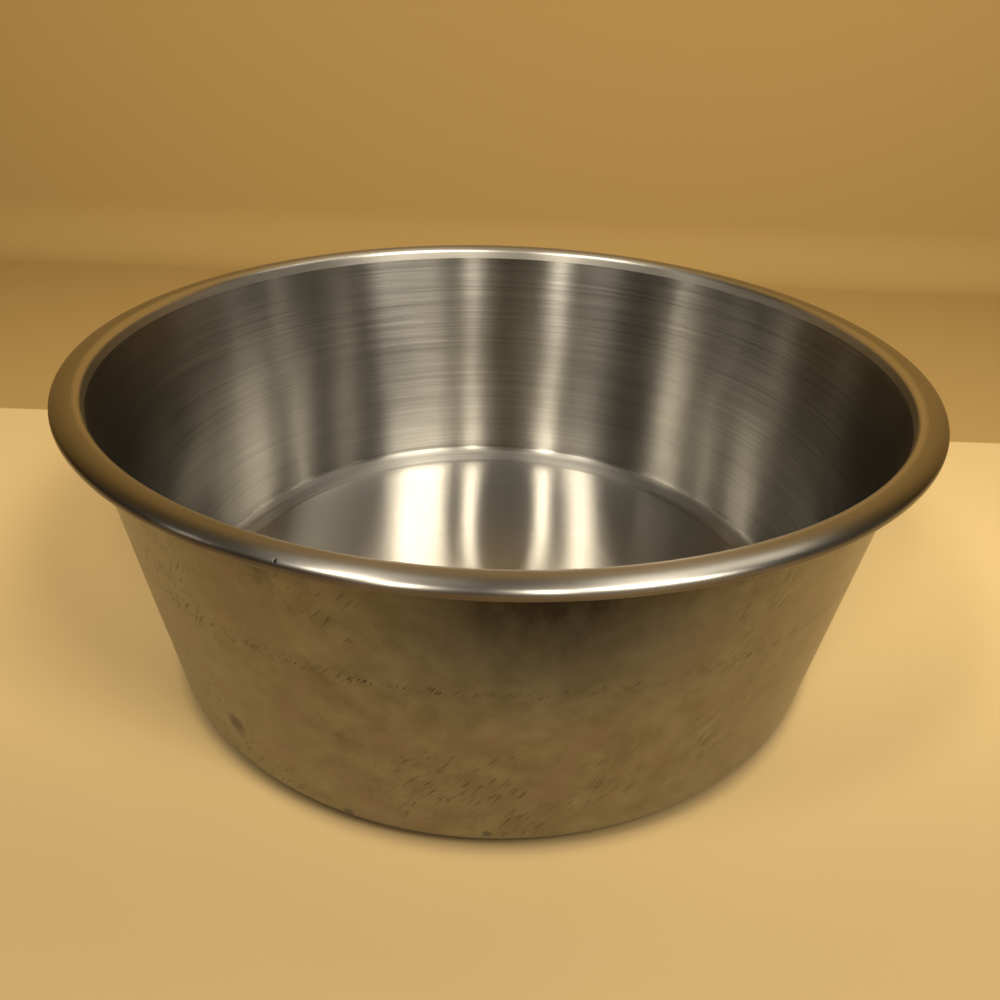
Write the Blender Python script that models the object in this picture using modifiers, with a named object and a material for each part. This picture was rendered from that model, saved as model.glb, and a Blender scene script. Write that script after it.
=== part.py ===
"""Round mud pan, deep drawn from one sheet of stainless steel.

The floor, the tapered wall and the curled rim are one sheet of even thickness, so the pan is one
object: its inside face is a turned profile, and a Solidify modifier gives the sheet its thickness.
Units are metres and +Z is up. The origin is the centre of the base's underside.
"""

import math

import bmesh
import bpy

# Driving dimensions
RIM_RADIUS = 0.178  # outermost point of the curl
HEIGHT = 0.136  # table to the crown of the rim
FLAT_BASE_RADIUS = 0.1425  # edge of the flat part that stands on the table
CORNER_RADIUS = 0.011  # outside of the bend between base and wall
SHEET = 0.001  # thickness of the steel
CURL_RADIUS = 0.0024  # outside of the curl where it leaves the wall, and where it turns down
CROWN_RADIUS = 0.0082  # the broad, gently arched top of the rim
CROWN_HALF_ANGLE = math.radians(30)
CURL_END_ANGLE = math.radians(-100)  # direction, from the curl's centre, in which the bend ends
LIP_LENGTH = 0.0035  # straight run from the bend to the cut edge

# Fineness of the faceted solid
SEGMENTS_ROUND = 80
DEGREES_PER_STEP = 20

STEEL_COLOR = (0.56, 0.53, 0.48, 1.0)
STEEL_ROUGHNESS = 0.3
AUTO_SMOOTH_ANGLE = math.radians(40)
MERGE_DISTANCE = 0.00005


def clear_scene():
    """Remove everything the startup scene holds."""
    for obj in list(bpy.data.objects):
        bpy.data.objects.remove(obj, do_unlink=True)


def arc(centre, radius, start, end):
    """Points (x, z) on an arc about centre, from angle start to angle end, both ends included.

    The number of steps is even, so the middle of the arc is one of the points.
    """
    steps = 2 * math.ceil(abs(end - start) / math.radians(2 * DEGREES_PER_STEP))
    angles = [start + (end - start) * step / steps for step in range(steps + 1)]
    return [(centre[0] + radius * math.cos(a), centre[1] + radius * math.sin(a)) for a in angles]


def inside_profile():
    """The sheet's inside face, from the floor's centre up the wall and over the rim to the lip."""
    corner_radius = CORNER_RADIUS - SHEET
    corner = (FLAT_BASE_RADIUS, CORNER_RADIUS)

    # The rim's section: two tight bends of one radius with the broad crown between them
    half_span = (CROWN_RADIUS - CURL_RADIUS) * math.sin(CROWN_HALF_ANGLE)
    drop = CROWN_RADIUS - (CROWN_RADIUS - CURL_RADIUS) * math.cos(CROWN_HALF_ANGLE)
    outer_bend = (RIM_RADIUS - CURL_RADIUS, HEIGHT - drop)
    crown = (outer_bend[0] - half_span, HEIGHT - CROWN_RADIUS)
    inner_bend = (crown[0] - half_span, HEIGHT - drop)

    # The wall is the straight line that touches the base corner and the rim's inner bend
    run = inner_bend[0] - corner[0]
    rise = inner_bend[1] - corner[1]
    taper = math.atan2(run, rise) - math.asin((corner_radius + CURL_RADIUS) / math.hypot(run, rise))

    upright = math.pi / 2
    points = [(0.0, SHEET)]
    points += arc(corner, corner_radius, -upright, -taper)
    points += arc(inner_bend, CURL_RADIUS, math.pi - taper, upright + CROWN_HALF_ANGLE)
    points += arc(crown, CROWN_RADIUS, upright + CROWN_HALF_ANGLE, upright - CROWN_HALF_ANGLE)[1:]
    points += arc(outer_bend, CURL_RADIUS, upright - CROWN_HALF_ANGLE, CURL_END_ANGLE)[1:]
    end_x, end_z = points[-1]
    inward = CURL_END_ANGLE - upright
    points.append((end_x + LIP_LENGTH * math.cos(inward), end_z + LIP_LENGTH * math.sin(inward)))
    return points


def steel():
    """Satin stainless steel."""
    material = bpy.data.materials.new("satin_steel")
    material.use_nodes = True
    shader = material.node_tree.nodes["Principled BSDF"]
    shader.inputs["Base Color"].default_value = STEEL_COLOR
    shader.inputs["Metallic"].default_value = 1.0
    shader.inputs["Roughness"].default_value = STEEL_ROUGHNESS
    return material


def profile_mesh(name, points):
    """A mesh of edges in the XZ plane that joins the points in order."""
    mesh = bpy.data.meshes.new(name)
    shape = bmesh.new()
    corners = [shape.verts.new((x, 0.0, z)) for x, z in points]
    for first, second in zip(corners, corners[1:]):
        shape.edges.new((first, second))
    shape.to_mesh(mesh)
    shape.free()
    return mesh


def drawn_pan(collection):
    """The whole pan: the inside face turned about Z, then thickened outwards to the sheet."""
    pan = bpy.data.objects.new("pan", profile_mesh("pan", inside_profile()))
    collection.objects.link(pan)

    turn = pan.modifiers.new("turn", "SCREW")
    turn.axis = "Z"
    turn.angle = math.tau
    turn.steps = SEGMENTS_ROUND
    turn.render_steps = SEGMENTS_ROUND
    turn.use_merge_vertices = True
    turn.merge_threshold = MERGE_DISTANCE
    turn.use_smooth_shade = True

    thicken = pan.modifiers.new("thicken", "SOLIDIFY")
    thicken.thickness = SHEET
    thicken.offset = -1.0
    thicken.use_even_offset = True
    return pan


def smooth(obj):
    """Replace the modifiers by their result, shaded smooth except across sharp edges."""
    graph = bpy.context.evaluated_depsgraph_get()
    mesh = bpy.data.meshes.new_from_object(obj.evaluated_get(graph))
    obj.modifiers.clear()
    obj.data = mesh
    mesh.shade_smooth()
    mesh.set_sharp_from_angle(angle=AUTO_SMOOTH_ANGLE)


def main():
    clear_scene()
    collection = bpy.data.collections.new("mud_pan")
    bpy.context.scene.collection.children.link(collection)
    pan = drawn_pan(collection)
    smooth(pan)
    pan.data.materials.append(steel())


main()
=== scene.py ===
# %% [markdown]
# # A round mud pan in satin stainless steel
#
# The pan is one sheet of steel. A press draws a flat disc into a tub, and a roller curls its edge
# outwards into a rim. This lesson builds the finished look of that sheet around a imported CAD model,
# which fixes where the pan stands and how large it is.

# %% Load the frame
import math

import bmesh
import bpy
from mathutils import Matrix, Vector


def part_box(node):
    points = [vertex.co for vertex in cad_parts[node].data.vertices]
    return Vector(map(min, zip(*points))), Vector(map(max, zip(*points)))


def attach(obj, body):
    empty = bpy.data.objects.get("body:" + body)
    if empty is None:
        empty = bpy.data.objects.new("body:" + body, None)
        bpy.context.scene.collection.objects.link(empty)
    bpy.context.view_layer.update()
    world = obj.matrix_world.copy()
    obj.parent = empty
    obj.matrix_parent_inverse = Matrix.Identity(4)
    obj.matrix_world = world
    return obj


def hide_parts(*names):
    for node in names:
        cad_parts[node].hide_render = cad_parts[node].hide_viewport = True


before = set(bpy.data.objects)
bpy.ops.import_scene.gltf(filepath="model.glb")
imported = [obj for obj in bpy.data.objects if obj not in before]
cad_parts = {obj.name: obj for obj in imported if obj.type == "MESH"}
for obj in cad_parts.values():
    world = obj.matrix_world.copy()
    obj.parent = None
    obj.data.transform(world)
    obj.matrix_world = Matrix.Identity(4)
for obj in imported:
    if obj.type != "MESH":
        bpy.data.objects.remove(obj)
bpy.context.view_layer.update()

low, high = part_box("pan")
RIM_RADIUS = (high.x - low.x) / 2
HEIGHT = high.z
print(f"the pan is {2000 * RIM_RADIUS:.0f} mm across and {1000 * HEIGHT:.0f} mm high")

# %% [markdown]
# ## Where the eye stands
#
# Somebody stands at a bench and looks down into the pan. Distances are counted in rim radii, so the
# view stays the same if the pan is made larger. A camera looks along its own -Z, so the pitch turns
# it up from looking straight down, and the roll, which is a hand-held tilt, comes first.

# %% Camera
EYE_BACK = 1.893 * RIM_RADIUS
EYE_UP = 1.4355 * RIM_RADIUS
LENS_MM = 29.0
SENSOR_MM = 36.0
PITCH_DOWN = 0.536
YAW = 0.004
ROLL = 0.0373

camera_data = bpy.data.cameras.new("eye")
camera_data.lens = LENS_MM
camera_data.sensor_width = SENSOR_MM
camera = bpy.data.objects.new("eye", camera_data)
bpy.context.scene.collection.objects.link(camera)
aim = Matrix.Rotation(-YAW, 4, "Z") @ Matrix.Rotation(math.pi / 2 - PITCH_DOWN, 4, "X")
camera.matrix_world = Matrix.Translation((0, -EYE_BACK, EYE_UP)) @ aim @ Matrix.Rotation(ROLL, 4, "Z")
bpy.context.scene.camera = camera
print("the camera stands", [round(value, 3) for value in camera.location])

# %% [markdown]
# ## Shader sums as Python
#
# A finish is a small sum: a bit of brush grain, less of it where the metal is rubbed, and so on.
# `Value` wraps a socket so that such a sum can be written with +, - and *, and every operation adds
# one Math node. The reflected forms let a plain number stand on the left, as in `1 - grime`.

# %% Value


class Value:
    """A socket that takes part in Python arithmetic."""

    def __init__(self, finish, socket):
        self.finish = finish
        self.socket = socket

    def math(self, operation, *others):
        return self.finish.math(operation, self, *others)

    def __add__(self, other):
        return self.math("ADD", other)

    def __radd__(self, other):
        return self.math("ADD", other)

    def __sub__(self, other):
        return self.math("SUBTRACT", other)

    def __rsub__(self, other):
        return self.finish.math("SUBTRACT", other, self)

    def __mul__(self, other):
        return self.math("MULTIPLY", other)

    def __rmul__(self, other):
        return self.math("MULTIPLY", other)


print("values add, subtract and multiply")

# %% [markdown]
# `Finish` holds one material. Its `node` method adds any kind of node: the settings go in first,
# then the numbers or links of the sockets. The short methods below it are the sums that every
# finish of the pan needs, so the finishes themselves can be read like a recipe.

# %% Finish


class Finish:
    """One material, made from the Principled shader."""

    def __init__(self, name):
        self.material = bpy.data.materials.new(name)
        self.material.use_nodes = True
        self.tree = self.material.node_tree
        self.shader = self.tree.nodes["Principled BSDF"]

    def node(self, kind, settings=None, inputs=None, output=0):
        """Add one node and give back the value of one of its outputs."""
        made = self.tree.nodes.new(kind)
        for key, setting in (settings or {}).items():
            setattr(made, key, setting)
        self.feed(made, inputs or {})
        return Value(self, made.outputs[output])

    def feed(self, made, inputs):
        """Link each value to its socket of the node, and write plain numbers into theirs."""
        for key, value in inputs.items():
            if isinstance(value, Value):
                self.tree.links.new(value.socket, made.inputs[key])
            else:
                made.inputs[key].default_value = value

    def math(self, operation, *values):
        return self.node("ShaderNodeMath", {"operation": operation}, dict(enumerate(values)))

    def length(self, across, up):
        """How long a line is that goes this far across and this far up."""
        return (across.math("POWER", 2) + up.math("POWER", 2)).math("SQRT")

    def ramp(self, value, start, end):
        """0 where value is at start, 1 where it is at end, and smooth between."""
        inputs = {"Value": value, "From Min": start, "From Max": end}
        return self.node("ShaderNodeMapRange", {"interpolation_type": "SMOOTHSTEP"}, inputs)

    def band(self, value, middle, reach):
        """1 where value is at middle, falling to 0 at this reach on either side."""
        return self.ramp((value - middle).math("ABSOLUTE"), reach, 0.0)

    def mix(self, share, first, second):
        """A colour that goes from first to second as share goes from 0 to 1."""
        settings = {"data_type": "RGBA"}
        return self.node("ShaderNodeMix", settings, {0: share, 6: first, 7: second}, output=2)

    def noise(self, x, y, z, detail=2.0, roughness=0.5):
        """Cloudy noise with one lump a unit, read at the point x, y, z."""
        place = self.node("ShaderNodeCombineXYZ", None, {0: x, 1: y, 2: z})
        inputs = {"Vector": place, "Scale": 1.0, "Detail": detail, "Roughness": roughness}
        return self.node("ShaderNodeTexNoise", None, inputs)

    def bump(self, height, distance=1.0):
        """A normal that leans as the height does. The height is in units of this many metres."""
        inputs = {"Height": height, "Distance": distance, "Strength": 1.0}
        return self.node("ShaderNodeBump", None, inputs)

    def place(self):
        """x, y, z, the distance from the pan's axis, and the way round it, all in metres."""
        xyz = self.node("ShaderNodeSeparateXYZ", None, {0: self.node("ShaderNodeTexCoord", output=3)})
        x, y, z = (Value(self, xyz.socket.node.outputs[axis]) for axis in range(3))
        around = self.math("ARCTAN2", x, 0 - y) * RIM_RADIUS
        return x, y, z, (x * x + y * y).math("SQRT"), around

    def surface(self, fixed=None, **sockets):
        """Set the shader: fixed numbers by their own names, then what varies."""
        for key, value in (fixed or {}).items():
            self.shader.inputs[key].default_value = value
        self.feed(self.shader, {key.replace("_", " "): value for key, value in sockets.items()})
        return self.material


print("a finish is one material and its sums")

# %% [markdown]
# ## The stage
#
# Metal shows what stands around it, so the table matters as much as the pan. It is a sheet that
# sweeps up into a plain back. The sweep is one line, drawn out to both sides, and its bend is round,
# so that it shows no edge in the metal.

# %% Sweep
SWEEP_HALF_WIDTH = 3.0
SWEEP_FRONT = -2.5
SWEEP_BACK = 0.65
SWEEP_TOP = 2.2
SWEEP_BEND = 0.06
BEND_STEPS = 12

sweep_line = [(SWEEP_FRONT, 0.0)]
for step in range(BEND_STEPS + 1):
    angle = math.pi / 2 * step / BEND_STEPS
    y = SWEEP_BACK - SWEEP_BEND * (1 - math.sin(angle))
    sweep_line.append((y, SWEEP_BEND * (1 - math.cos(angle))))
sweep_line.append((SWEEP_BACK, SWEEP_TOP))

shape = bmesh.new()
left, right = ([shape.verts.new((side * SWEEP_HALF_WIDTH, y, z)) for y, z in sweep_line] for side in (-1, 1))
for index in range(len(sweep_line) - 1):
    shape.faces.new((left[index], right[index], right[index + 1], left[index + 1]))
sweep_mesh = bpy.data.meshes.new("sweep")
shape.to_mesh(sweep_mesh)
shape.free()
sweep_mesh.shade_smooth()
sweep = bpy.data.objects.new("sweep", sweep_mesh)
bpy.context.scene.collection.objects.link(sweep)
print(len(sweep_mesh.polygons), "faces in the sweep")

# %% [markdown]
# The sheet is buff paper, and the warm colour of the pan's outside is this paper, seen in the steel.
# Its tone does some of the work of light. It is darker towards the front, as on a bench that is lit
# from behind. Just behind the pan a second, darker paper begins, which gives the pan a clear ground.
# A thin dark ring round the foot is a painted contact shadow, which makes the pan sit firmly on
# the table.

# %% Paper
FRONT_PAPER = (0.41, 0.30, 0.145, 1.0)
MIDDLE_PAPER = (0.70, 0.52, 0.245, 1.0)
BACK_PAPER = (0.43, 0.285, 0.10, 1.0)
# painted contact shadow: the paper's darkest tone, in a ring round the pan's foot
CONTACT_SHADOW_PAPER = (0.12, 0.085, 0.04, 1.0)
BRIGHTENS = (-0.20, 0.06)  # from here to here, going back
PAPERS_MEET = (0.1985, 0.2015)
CONTACT_SHADOW_RING = (0.158, 0.146)  # from its faint outside to its dark inside

paper = Finish("buff_paper")
x, y, z, radius, around = paper.place()
tone = paper.mix(paper.ramp(y, *BRIGHTENS), FRONT_PAPER, MIDDLE_PAPER)
tone = paper.mix(paper.ramp(y, *PAPERS_MEET), tone, BACK_PAPER)
# painted contact shadow: the paper goes dark in a ring round the pan's foot
tone = paper.mix(paper.ramp(radius, *CONTACT_SHADOW_RING), tone, CONTACT_SHADOW_PAPER)
sweep_mesh.materials.append(paper.surface({"Specular IOR Level": 0.1, "Roughness": 0.9}, Base_Color=tone))
print("the papers meet", round(1000 * (PAPERS_MEET[0] - RIM_RADIUS)), "mm behind the rim")

# %% [markdown]
# ## Lights
#
# Brushed steel draws every lamp out into a streak across its grain, so the streaks inside the pan
# are set by where the lamps stand. A wide lamp in front on the right gives the broad streak, and
# narrow ones give the thin streaks beside it. They are area lights, which keeps every edge soft, and
# each one faces the pan from its own direction.
#
# It is easier to say where a streak should stand than where its lamp should. The far wall is a round
# mirror, and for this eye a lamp that is far away gives a streak at the angle whose tangent is
# aside / (forward - STREAK_SHIFT). Here aside and forward are two parts of the direction towards the
# lamp, which is one unit long, so the third part, upwards, follows from them.

# %% Lights
WARM_WHITE = (1.0, 0.90, 0.74)
LAMP_DISTANCE = 1.3
STREAK_SHIFT = 0.637  # how far back the eye stands, over its distance from the far wall
LAMPS = {
    # name: (streak in degrees round the far wall, forward, width, length, watts)
    "broad_outer": (-27.5, -0.50, 0.14, 0.30, 2.1),
    "broad_inner": (-19.5, -0.50, 0.34, 0.30, 10.5),
    "narrow_right": (-7, -0.72, 0.09, 0.50, 3.6),
    "narrow_left": (12, -0.72, 0.09, 0.50, 4.5),
    "cream_left": (20.8, -0.38, 0.15, 0.30, 4.6),
    "side_left": (41, -0.33, 0.10, 0.30, 0.4),
    "overhead": (-40, 0.12, 0.36, 0.60, 1.8),
    "overhead_middle": (30.5, 0.10, 0.07, 0.40, 0.2),
    "overhead_right": (19.2, 0.10, 0.06, 0.40, 0.3),
}

for name, (streak, forward, width, length, watts) in LAMPS.items():
    aside = math.tan(math.radians(streak)) * (forward - STREAK_SHIFT)
    towards = Vector((aside, forward, math.sqrt(1 - aside ** 2 - forward ** 2)))
    light = bpy.data.lights.new(name, "AREA")
    light.shape = "RECTANGLE"
    light.size = width
    light.size_y = length
    light.energy = watts
    light.color = WARM_WHITE
    lamp = bpy.data.objects.new(name, light)
    lamp.location = towards * LAMP_DISTANCE
    lamp.rotation_euler = towards.to_track_quat("Z", "Y").to_euler()
    bpy.context.scene.collection.objects.link(lamp)
print(len(LAMPS), "lamps,", round(sum(lamp[-1] for lamp in LAMPS.values()), 1), "watts")

# %% [markdown]
# The room beyond the stage is a dim warm grey. The sides of the pan's inside look past the lamps
# into it, which is why they are nearly black. The plain view transform keeps the paper's colour.

# %% Room
ROOM = (1.0, 0.84, 0.62, 1.0)
ROOM_STRENGTH = 0.07

world = bpy.data.worlds.new("room")
world.use_nodes = True
background = world.node_tree.nodes["Background"]
background.inputs["Color"].default_value = ROOM
background.inputs["Strength"].default_value = ROOM_STRENGTH
bpy.context.scene.world = world
bpy.context.scene.view_settings.view_transform = "Standard"
print("the room is set to", ROOM_STRENGTH)

# %% [markdown]
# ## The sheet's section
#
# Cut the pan from its axis to its rim and it shows one thin line: floor, corner, leaning wall, and a
# rim that goes up, over and back towards the wall. The rim is three round bends, a broad one for
# the crown between two tight ones. The wall is the straight line that touches the corner and the
# rim's first bend, so its lean is worked out and not guessed.

# %% Section sizes
SHEET = 0.001
FLAT_BASE_RADIUS = 0.1425
CORNER_RADIUS = 0.011
CURL_RADIUS = 0.0024
CROWN_RADIUS = 0.0082
CROWN_HALF_ANGLE = math.radians(30)
CURL_END_ANGLE = math.radians(-100)
LIP_LENGTH = 0.0035
UPRIGHT = math.pi / 2

half_span = (CROWN_RADIUS - CURL_RADIUS) * math.sin(CROWN_HALF_ANGLE)
drop = CROWN_RADIUS - (CROWN_RADIUS - CURL_RADIUS) * math.cos(CROWN_HALF_ANGLE)
corner = (FLAT_BASE_RADIUS, CORNER_RADIUS)
outer_bend = (RIM_RADIUS - CURL_RADIUS, HEIGHT - drop)
crown = (outer_bend[0] - half_span, HEIGHT - CROWN_RADIUS)
inner_bend = (crown[0] - half_span, HEIGHT - drop)
run = inner_bend[0] - corner[0]
rise = inner_bend[1] - corner[1]
taper = math.atan2(run, rise) - math.asin((CORNER_RADIUS - SHEET + CURL_RADIUS) / math.hypot(run, rise))
rim_width = RIM_RADIUS - inner_bend[0] + CURL_RADIUS
print(f"the wall leans out by {math.degrees(taper):.1f} degrees, the rim is {1000 * rim_width:.1f} mm wide")

# %% [markdown]
# A line in the section is made of round bends and straight stretches, so those are the only two
# tools it needs. More steps go where the line turns sharply or where the metal's grain will show.

# %% Bends and straights
STEPS = {"floor": 20, "corner": 12, "wall": 36, "shoulder": 10, "crown": 12, "fall": 20, "lip": 4, "edge": 6}


def bend(centre, radius, start, end, steps):
    """Points (x, z) on an arc, both ends included."""
    angles = [start + (end - start) * step / steps for step in range(steps + 1)]
    return [(centre[0] + radius * math.cos(a), centre[1] + radius * math.sin(a)) for a in angles]


def straight(first, last, steps):
    """Points between first and last, with neither end."""
    shares = [step / steps for step in range(1, steps)]
    return [(first[0] + (last[0] - first[0]) * t, first[1] + (last[1] - first[1]) * t) for t in shares]


print("the wall is drawn in", STEPS["wall"], "steps and its corner in", STEPS["corner"])

# %% [markdown]
# Both faces of the sheet follow the same bends, one sheet's thickness apart, so one function draws
# either of them at a given depth below the inside face. A round cut edge at the lip joins the two.
# Each stretch keeps a zone number, because the inside, the floor, the rim, the outside and the
# underside have been worn in different ways.

# %% Section line
INSIDE, FLOOR, RIM, OUTSIDE, BASE = range(5)


def face_line(depth):
    """The sheet's line at this depth below its inside face, as stretches from the axis to the lip."""
    crown_start = UPRIGHT + CROWN_HALF_ANGLE
    crown_end = UPRIGHT - CROWN_HALF_ANGLE
    foot = bend(corner, CORNER_RADIUS - SHEET + depth, -UPRIGHT, -taper, STEPS["corner"])
    shoulder = bend(inner_bend, CURL_RADIUS - depth, math.pi - taper, crown_start, STEPS["shoulder"])
    top = bend(crown, CROWN_RADIUS - depth, crown_start, crown_end, STEPS["crown"])
    fall = bend(outer_bend, CURL_RADIUS - depth, crown_end, CURL_END_ANGLE, STEPS["fall"])
    inward = CURL_END_ANGLE - UPRIGHT
    end = (fall[-1][0] + LIP_LENGTH * math.cos(inward), fall[-1][1] + LIP_LENGTH * math.sin(inward))
    floor = straight((0.0, SHEET - depth), foot[0], STEPS["floor"])
    wall = straight(foot[-1], shoulder[0], STEPS["wall"])
    lip = straight(fall[-1], end, STEPS["lip"]) + [end]
    return [floor, foot, wall, shoulder, top[1:-1], fall, lip]


inside_face = face_line(0.0)
outside_face = face_line(SHEET)
lip_middle = [(a + b) / 2 for a, b in zip(inside_face[-1][-1], outside_face[-1][-1])]
cut_edge = bend(lip_middle, SHEET / 2, CURL_END_ANGLE, CURL_END_ANGLE - math.pi, STEPS["edge"])[1:-1]

section = []
for stretch, zone in zip(inside_face, (FLOOR, INSIDE, INSIDE, RIM, RIM, RIM, RIM)):
    section += [(point, zone) for point in stretch]
section += [(point, RIM) for point in cut_edge]
for stretch, zone in zip(reversed(outside_face), (RIM, RIM, RIM, RIM, OUTSIDE, OUTSIDE, BASE)):
    section += [(point, zone) for point in reversed(stretch)]
print(len(section), "points in the section")

# %% [markdown]
# ## Turning the sheet, not quite true
#
# A perfect lathe form looks false in metal, because its streaks and its rim are too straight. A real
# drawn pan springs a little out of round, and its wall keeps shallow waves. So the section is turned
# by hand in mesh code, and every point is moved by a fraction of a millimetre. The moves only go
# inwards and down, which keeps the pan inside the space of the CAD model. The waves are sums of
# sines whose whole numbers close up after one turn, and whose offsets are free.

# %% Wobble
OUT_OF_ROUND = 0.00022
WAVES = 0.00008
DEEPEST_OVAL = 3.0  # the two oval sines and their offset, all at their lowest


def wobble(angle, x, z):
    """Where the point of the section at x, z stands once it is turned by angle: (radius, z)."""
    share = z / HEIGHT
    oval = math.sin(2 * angle + 0.6) + 0.5 * math.sin(3 * angle + 2.1) - DEEPEST_OVAL / 2
    waves = math.sin(7 * angle + 1.3) + 0.5 * math.sin(13 * angle + 8 * share)
    moved = x + share * OUT_OF_ROUND * oval + math.sin(math.pi * share) * WAVES * waves
    lift = -share * OUT_OF_ROUND * (1 + math.sin(3 * angle + 0.4))
    return moved, z + lift


print("the rim is out of round by up to", round(1000 * DEEPEST_OVAL * OUT_OF_ROUND, 2), "mm")

# %% [markdown]
# Now every point of the section becomes a ring of points round the axis, and each pair of rings is
# joined by a belt of faces. A belt takes the zone of its first ring, except that the rim also takes
# the belts next to it. Two fans close the middle of the floor and of the underside, so the sheet is
# one closed skin.

# %% Pan mesh
AROUND = 360

shape = bmesh.new()
rings = []
for (x, z), zone in section:
    ring = []
    for step in range(AROUND):
        angle = math.tau * step / AROUND
        radius, height = wobble(angle, x, z)
        ring.append(shape.verts.new((radius * math.cos(angle), radius * math.sin(angle), height)))
    rings.append(ring)

zones = [zone for point, zone in section]
for row, (first, second) in enumerate(zip(rings, rings[1:])):
    for step in range(AROUND):
        after = (step + 1) % AROUND
        face = shape.faces.new((first[step], first[after], second[after], second[step]))
        face.material_index = RIM if RIM in (zones[row], zones[row + 1]) else zones[row]
for ring, height, zone in ((rings[0], SHEET, FLOOR), (rings[-1], 0.0, BASE)):
    centre = shape.verts.new((0.0, 0.0, height))
    for step in range(AROUND):
        face = shape.faces.new((centre, ring[step], ring[(step + 1) % AROUND]))
        face.material_index = zone
bmesh.ops.recalc_face_normals(shape, faces=shape.faces)

pan_mesh = bpy.data.meshes.new("drawn_pan")
shape.to_mesh(pan_mesh)
shape.free()
pan_mesh.shade_smooth()
pan = bpy.data.objects.new("drawn_pan", pan_mesh)
bpy.context.scene.collection.objects.link(pan)
print(len(pan_mesh.polygons), "faces in the pan")

# %% [markdown]
# ## The brushed inside
#
# An abrasive band was held against the inside while the pan turned, so its grain runs round the
# floor and the wall. Two things make that grain. The shader's anisotropy spreads every reflection
# across it, and fine noise, stretched a hundred times along it, gives lines that the eye can find.
#
# The floor was polished after that. It keeps a weaker grain and hardly any lines, and it is lighter,
# so it shows the wall's streaks once more, as pale bands. The bend between the two is hard to reach
# and stays rougher, which spreads the light into a ring.

# %% Inside
WALL_TONES = ((0.305, 0.295, 0.27, 1.0), (0.44, 0.43, 0.405, 1.0))  # dull lines, bright lines
FLOOR_TONES = ((0.57, 0.555, 0.53, 1.0), (0.62, 0.605, 0.58, 1.0))
WALL_ROUGHNESS = 0.23
FLOOR_ROUGHNESS = 0.28
BEND_ROUGHNESS = 0.30
ROUGH_BEND = (0.0032, 0.0050)  # the height of its middle, and how far it reaches up and down
LINES_PER_METRE = 1000
BANDS_PER_METRE = 120
SMEARS_PER_METRE = 24
LINE_DEPTH = 0.000004


def brushed_inside(name, grain, relief, roughness, bend_roughness, tones):
    """The brushed finish. Grain and relief go from 0 to 1, and the bend's roughness is added there."""
    finish = Finish(name)
    x, y, z, radius, around = finish.place()
    along = radius + z
    lines = finish.noise(x * 10, y * 10, along * LINES_PER_METRE, detail=3.0)
    bands = finish.noise(x * 7, y * 7, along * BANDS_PER_METRE)
    smears = finish.noise(x * SMEARS_PER_METRE, y * SMEARS_PER_METRE, z * SMEARS_PER_METRE, detail=3.0)
    uneven = (lines - 0.5) * 0.05 + (bands - 0.5) * 0.02 + (smears - 0.5) * 0.05
    return finish.surface(
        {"Metallic": 1.0, "Anisotropic": grain, "Anisotropic Rotation": 0.25},
        Base_Color=finish.mix(finish.ramp(lines * 0.7 + bands * 0.3, 0.25, 0.75), *tones),
        Roughness=roughness + uneven * relief + finish.band(z, *ROUGH_BEND) * bend_roughness,
        Normal=finish.bump(lines, LINE_DEPTH * relief),
    )


wall_finish = brushed_inside("brushed_wall", 1.0, 1.0, WALL_ROUGHNESS, BEND_ROUGHNESS, WALL_TONES)
floor_finish = brushed_inside("polished_floor", 0.8, 0.25, FLOOR_ROUGHNESS, 0.0, FLOOR_TONES)
pan_mesh.materials.append(wall_finish)
pan_mesh.materials.append(floor_finish)
print("the inside has", len(wall_finish.node_tree.nodes), "nodes in each of its two finishes")

# %% [markdown]
# ## The rolled rim
#
# The roller ran round the rim, so its grain runs round as well, and every highlight is drawn out
# across the rim's round top. A hand with emery cloth then went over it in short slanted strokes. Its
# outer turn, and the metal turned under it, are painted darker: painted shade under the curl and a
# painted dark reflection, broken up by ripples. The turn towards the inside is rubbed bright, and
# one small knock has left a pit.

# %% Rim
RIM_STEEL = (0.36, 0.35, 0.325, 1.0)
BURNISHED_STEEL = (0.58, 0.56, 0.52, 1.0)
# painted shade and painted dark reflection for the rim's outer turn and the metal under it
TURN_SHADE_STEEL = (0.12, 0.095, 0.085, 1.0)
PIT_SHADOW = (0.03, 0.025, 0.02, 1.0)
RIM_ROUGHNESS = 0.30
PIT = (-0.058, 0.1342, 0.0007)  # the way round, the height, the size
STROKE_ANGLE = math.radians(62)
STROKES_PER_METRE = 1500


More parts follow.
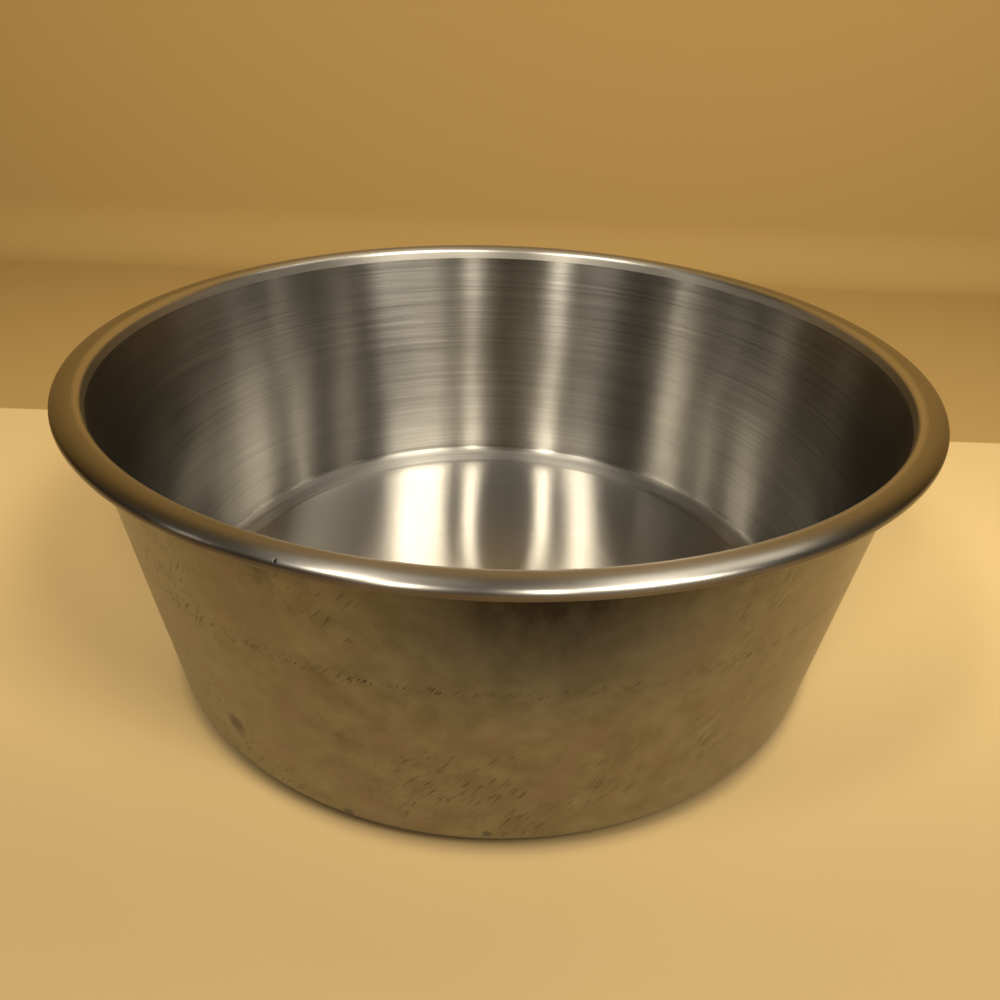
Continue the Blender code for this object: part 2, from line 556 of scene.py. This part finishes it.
def rolled_rim():
    finish = Finish("rolled_rim")
    x, y, z, radius, around = finish.place()
    over = radius - z
    along = around * math.cos(STROKE_ANGLE) + over * math.sin(STROKE_ANGLE)
    across = over * math.cos(STROKE_ANGLE) - around * math.sin(STROKE_ANGLE)
    strokes = finish.noise(across * STROKES_PER_METRE, along * 130, z * 60)
    ripples = finish.noise(x * 40, y * 40, z * 40, detail=3.0)

    # painted shade: the outer turn and the metal turned under it go dark, broken up by ripples
    outermost = finish.ramp(radius, RIM_RADIUS - 0.0012, RIM_RADIUS - 0.0004)
    turned_under = finish.ramp(z, outer_bend[1] + 0.0006, outer_bend[1] - 0.0006)
    turned_under = turned_under * finish.ramp(radius, crown[0] - 0.004, crown[0] - 0.003)
    painted_turn_shade = outermost.math("MAXIMUM", turned_under) * (0.55 + ripples * 0.6)
    burnished = finish.ramp(radius, crown[0] - 0.002, crown[0] - 0.004)
    pit = finish.ramp(finish.length(around - PIT[0], z - PIT[1]), PIT[2], PIT[2] * 0.4)

    worn_and_shaded = finish.mix(painted_turn_shade, finish.mix(burnished, RIM_STEEL, BURNISHED_STEEL), TURN_SHADE_STEEL)
    uneven = (strokes - 0.5) * 0.04 + (ripples - 0.5) * 0.06
    return finish.surface(
        {"Metallic": 1.0, "Anisotropic": 0.8, "Anisotropic Rotation": 0.25},
        Base_Color=finish.mix(pit, worn_and_shaded, PIT_SHADOW),
        Roughness=RIM_ROUGHNESS + uneven + burnished * 0.06 + pit * 0.3,
        Normal=finish.bump(strokes * 0.000001 + ripples * 0.00004 - pit * 0.00001),
    )


pan_mesh.materials.append(rolled_rim())
print("the rim has", len(pan_mesh.materials[RIM].node_tree.nodes), "nodes")

# %% [markdown]
# ## The worn outside, with painted shade
#
# The outside tells how the pan was used: stains of several sizes, dried grime in the shelter under
# the rim, and short scratches that all slant the same way, as when a pan is pushed against a shelf.
# It also carries painted shade: under the rim, in the middle of the front, and at the foot.
# The scratches are noise again, read in directions along and across the slant, and only its highest
# peaks are kept. They gather in patches and along a line that the press left a third of the way down.

# %% Slanted scratches
SLANT = math.radians(50)


def scratches(finish, around, z, seed, per_metre, length):
    """1 in short thin scratches that slant, at most this long, and 0 between them."""
    along = around * math.cos(SLANT) + z * math.sin(SLANT)
    across = z * math.cos(SLANT) - around * math.sin(SLANT)
    peaks = finish.noise(across * per_metre, along * (1 / length) + seed, seed, detail=1.0)
    return finish.ramp(peaks, 0.60, 0.68)


def spot(finish, around, z, centre, size, ragged):
    """1 in a soft spot of this size at centre (around, z), with a ragged edge."""
    apart = finish.length(around - centre[0], z - centre[1])
    return finish.ramp(apart + (ragged - 0.5) * size, size, size * 0.3)


print("scratches slant at", round(math.degrees(SLANT)), "degrees")

# %% [markdown]
# The stains are tones of the same steel, from light to dark, with a rosier tint in places. Grime is
# another matter. It lies on the metal as a dull dry crust, so it is less metallic and rougher. It
# hangs in ragged tongues below the rim, mixed there with painted shade under the rim. The middle of
# the front adds painted shade and a painted dark reflection over some grime, and is dull and rough
# as well. A painted contact shadow in the same dark colour darkens the foot where the pan meets the
# table.

# %% Stains, grime and painted shade
LIGHT_STAIN = (0.31, 0.285, 0.215, 1.0)
DARK_STAIN = (0.19, 0.17, 0.12, 1.0)
ROSE_STAIN = (0.26, 0.215, 0.175, 1.0)
# the colour of grime, used also for painted shade and the painted contact shadow
DARK_GRIME_AND_SHADE = (0.020, 0.015, 0.009, 1.0)
UNDER_RIM_GRIME_AND_SHADE = (0.112, 0.128)  # none below this height, and all of it above that one
# painted shade and painted dark reflection, over some grime, in the middle of the front
MIDDLE_GRIME_AND_SHADE_PLACE = (0.018, 0.090)  # the way round to its middle, and its reach
MIDDLE_GRIME_AND_SHADE_HEIGHTS = (0.055, 0.124)
PRESS_LINE = 0.0845
PRESS_LINE_REACH = 0.0045
SMUDGES = {
    # place (around, up): size
    (-0.1145, 0.0295): 0.007,
    (-0.0589, 0.0080): 0.004,
    (0.0005, 0.0095): 0.003,
    (0.2100, 0.0600): 0.008,
    (-0.3300, 0.0900): 0.010,
}
print(len(SMUDGES), "smudges on the outside")

# %% Outside


def worn_and_shaded_outside():
    finish = Finish("worn_and_shaded_outside")
    x, y, z, radius, around = finish.place()
    mottle = finish.noise(x * 95, y * 95, z * 95, detail=5.0, roughness=0.6)
    tint = finish.noise(x * 55 + 7, y * 55, z * 55, detail=3.0)
    hairlines = finish.noise(x * 9, y * 9, z * 800)
    ragged = finish.noise(x * 130, y * 130, z * 70, detail=5.0, roughness=0.65)

    stain = finish.mix(finish.ramp(mottle, 0.15, 0.85), DARK_STAIN, LIGHT_STAIN)
    stain = finish.mix(finish.ramp(tint, 0.45, 0.75) * 0.7, stain, ROSE_STAIN)

    patches = finish.ramp(finish.noise(x * 20 + 3, y * 20, z * 20), 0.46, 0.62)
    line = finish.band(z + (mottle - 0.5) * 0.004, PRESS_LINE, PRESS_LINE_REACH)
    marks = scratches(finish, around, z, 2.7, 1300, 0.007) * (patches * 0.55 + line * 0.5)
    marks = marks.math("MAXIMUM", scratches(finish, around, z, 9.1, 2300, 0.004) * line)

    # grime under the rim together with painted shade under the rim's overhang, in ragged tongues
    dried_grime_and_shade = finish.ramp(z + (ragged - 0.5) * 0.030, *UNDER_RIM_GRIME_AND_SHADE)
    dried_grime_and_shade = dried_grime_and_shade * finish.ramp(finish.noise(x * 16 + 11, y * 16 + 2, 4.0), 0.40, 0.62)
    # painted shade and a painted dark reflection in the middle of the front, over some real grime
    middle_grime_and_shade = finish.ramp(z, *MIDDLE_GRIME_AND_SHADE_HEIGHTS) * finish.band(around, *MIDDLE_GRIME_AND_SHADE_PLACE)
    all_grime_and_shade = (dried_grime_and_shade * 0.85).math("MAXIMUM", middle_grime_and_shade * (0.72 + ragged * 0.5))
    for place, size in SMUDGES.items():
        all_grime_and_shade = all_grime_and_shade.math("MAXIMUM", spot(finish, around, z, place, size, ragged) * 0.6)
    # painted contact shadow: the foot goes dark where the pan meets the table
    foot = finish.ramp(z + (ragged - 0.5) * 0.003, CORNER_RADIUS * 0.7, 0.001)
    shade = all_grime_and_shade.math("MAXIMUM", marks * 0.85).math("MAXIMUM", foot * 0.8)

    return finish.surface(
        {"Anisotropic": 0.4, "Anisotropic Rotation": 0.25},
        Base_Color=finish.mix(shade, stain, DARK_GRIME_AND_SHADE),
        Metallic=1 - all_grime_and_shade * 0.35,
        Roughness=0.36 + (mottle - 0.5) * 0.16 + (hairlines - 0.5) * 0.10 + all_grime_and_shade * 0.15,
        Normal=finish.bump(mottle * 0.00003 + hairlines * 0.00001 - marks * 0.00004),
    )


pan_mesh.materials.append(worn_and_shaded_outside())
print("the outside has", len(pan_mesh.materials[OUTSIDE].node_tree.nodes), "nodes")

# %% [markdown]
# ## The underside
#
# Nobody polishes the underside. It keeps the grey of the sheet, with a rubbed ring where it slides
# on the bench, and scratches in every direction. Two sets of stretched noise, crossed, are enough.

# %% Underside
SHEET_GREY = (0.42, 0.39, 0.34, 1.0)
RUBBED_STEEL = (0.60, 0.57, 0.52, 1.0)
RUBBED_RING = (FLAT_BASE_RADIUS - 0.004, 0.009)  # the radius of its middle, and its reach


def scuffed_base():
    finish = Finish("scuffed_base")
    x, y, z, radius, around = finish.place()
    scuffs = finish.noise(x * 900 + y * 300, y * 40 - x * 12, 1.0)
    crossed = finish.noise(x * 40 + y * 25, y * 700 - x * 500, 5.0)
    stains = finish.noise(x * 30, y * 30, 9.0, detail=4.0)
    cuts = finish.ramp(scuffs, 0.62, 0.72).math("MAXIMUM", finish.ramp(crossed, 0.64, 0.74))
    rubbed = finish.band(radius, *RUBBED_RING) * finish.ramp(stains, 0.35, 0.6)
    shine = (rubbed * 0.8).math("MAXIMUM", cuts * 0.5)
    return finish.surface(
        {"Metallic": 1.0},
        Base_Color=finish.mix(shine, finish.mix(stains, DARK_STAIN, SHEET_GREY), RUBBED_STEEL),
        Roughness=0.48 + (stains - 0.5) * 0.2 - rubbed * 0.12,
        Normal=finish.bump(stains * 0.00005 - cuts * 0.00003),
    )


pan_mesh.materials.append(scuffed_base())
print("the underside has", len(pan_mesh.materials[BASE].node_tree.nodes), "nodes")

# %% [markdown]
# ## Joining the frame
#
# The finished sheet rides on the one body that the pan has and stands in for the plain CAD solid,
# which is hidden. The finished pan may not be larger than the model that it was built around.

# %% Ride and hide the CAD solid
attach(pan, "root")
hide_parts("pan")
